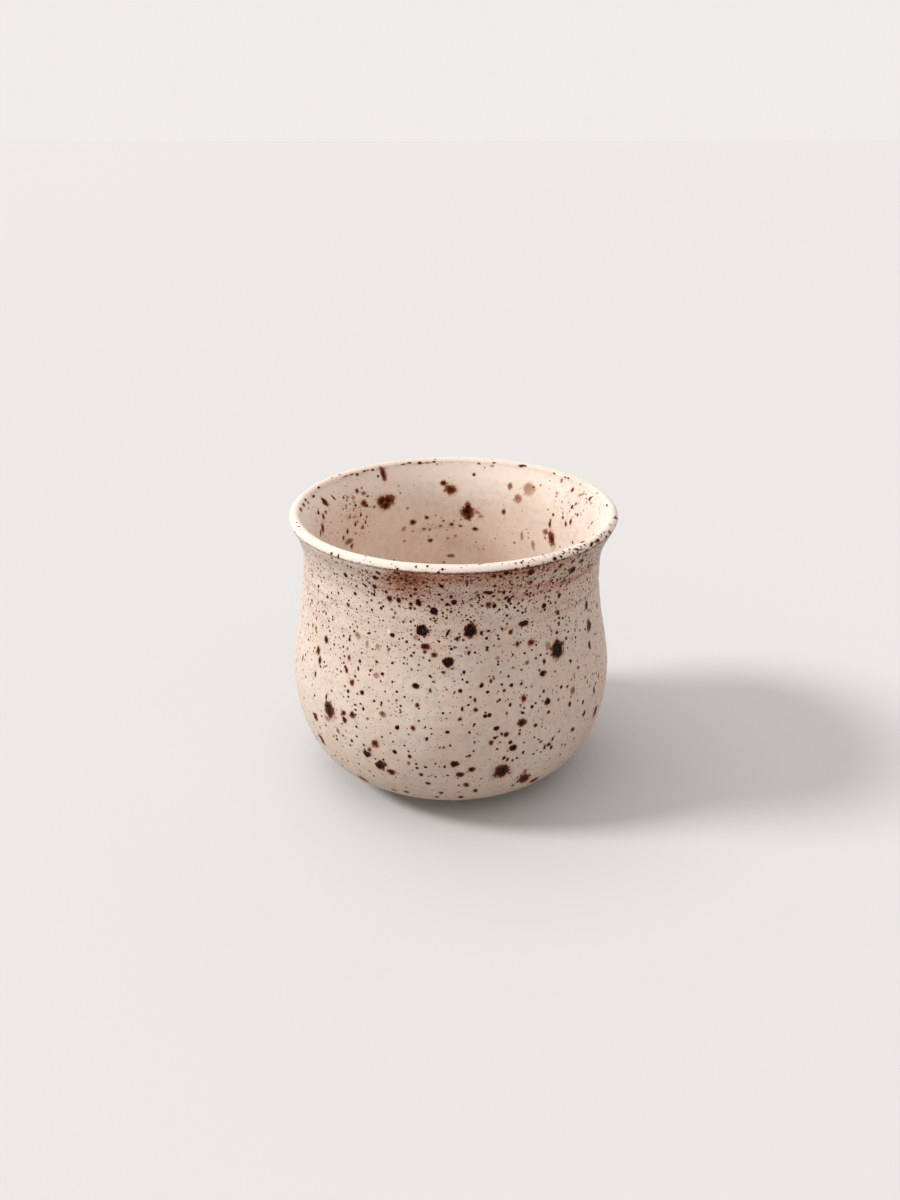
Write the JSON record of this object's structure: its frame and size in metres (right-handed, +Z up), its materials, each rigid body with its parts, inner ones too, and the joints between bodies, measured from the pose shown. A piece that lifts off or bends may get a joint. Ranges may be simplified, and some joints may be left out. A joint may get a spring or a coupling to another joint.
{
  "type": "handleless cup",
  "caption": "Handleless stoneware cup with a full belly, a drawn-in neck, a rolled lip and a low turned foot, glazed inside and out.",
  "frame": {"origin": "centre of the foot ring, on the plane on which it rests", "axes": "+Z up along the cup's axis, through the mouth; the side that the picture shows faces -Y"},
  "size_m": [0.0916, 0.0916, 0.0788],
  "materials": {
    "bare_stoneware": "matt fired clay, fine dark grains",
    "speckled_glaze": "satin warm cream glaze with dark iron specks and larger melted spots"
  },
  "bodies": {
    "root": {"clay_body": "bare_stoneware", "outer_glaze": "speckled_glaze", "inner_glaze": "speckled_glaze"}
  },
  "joints": []
}
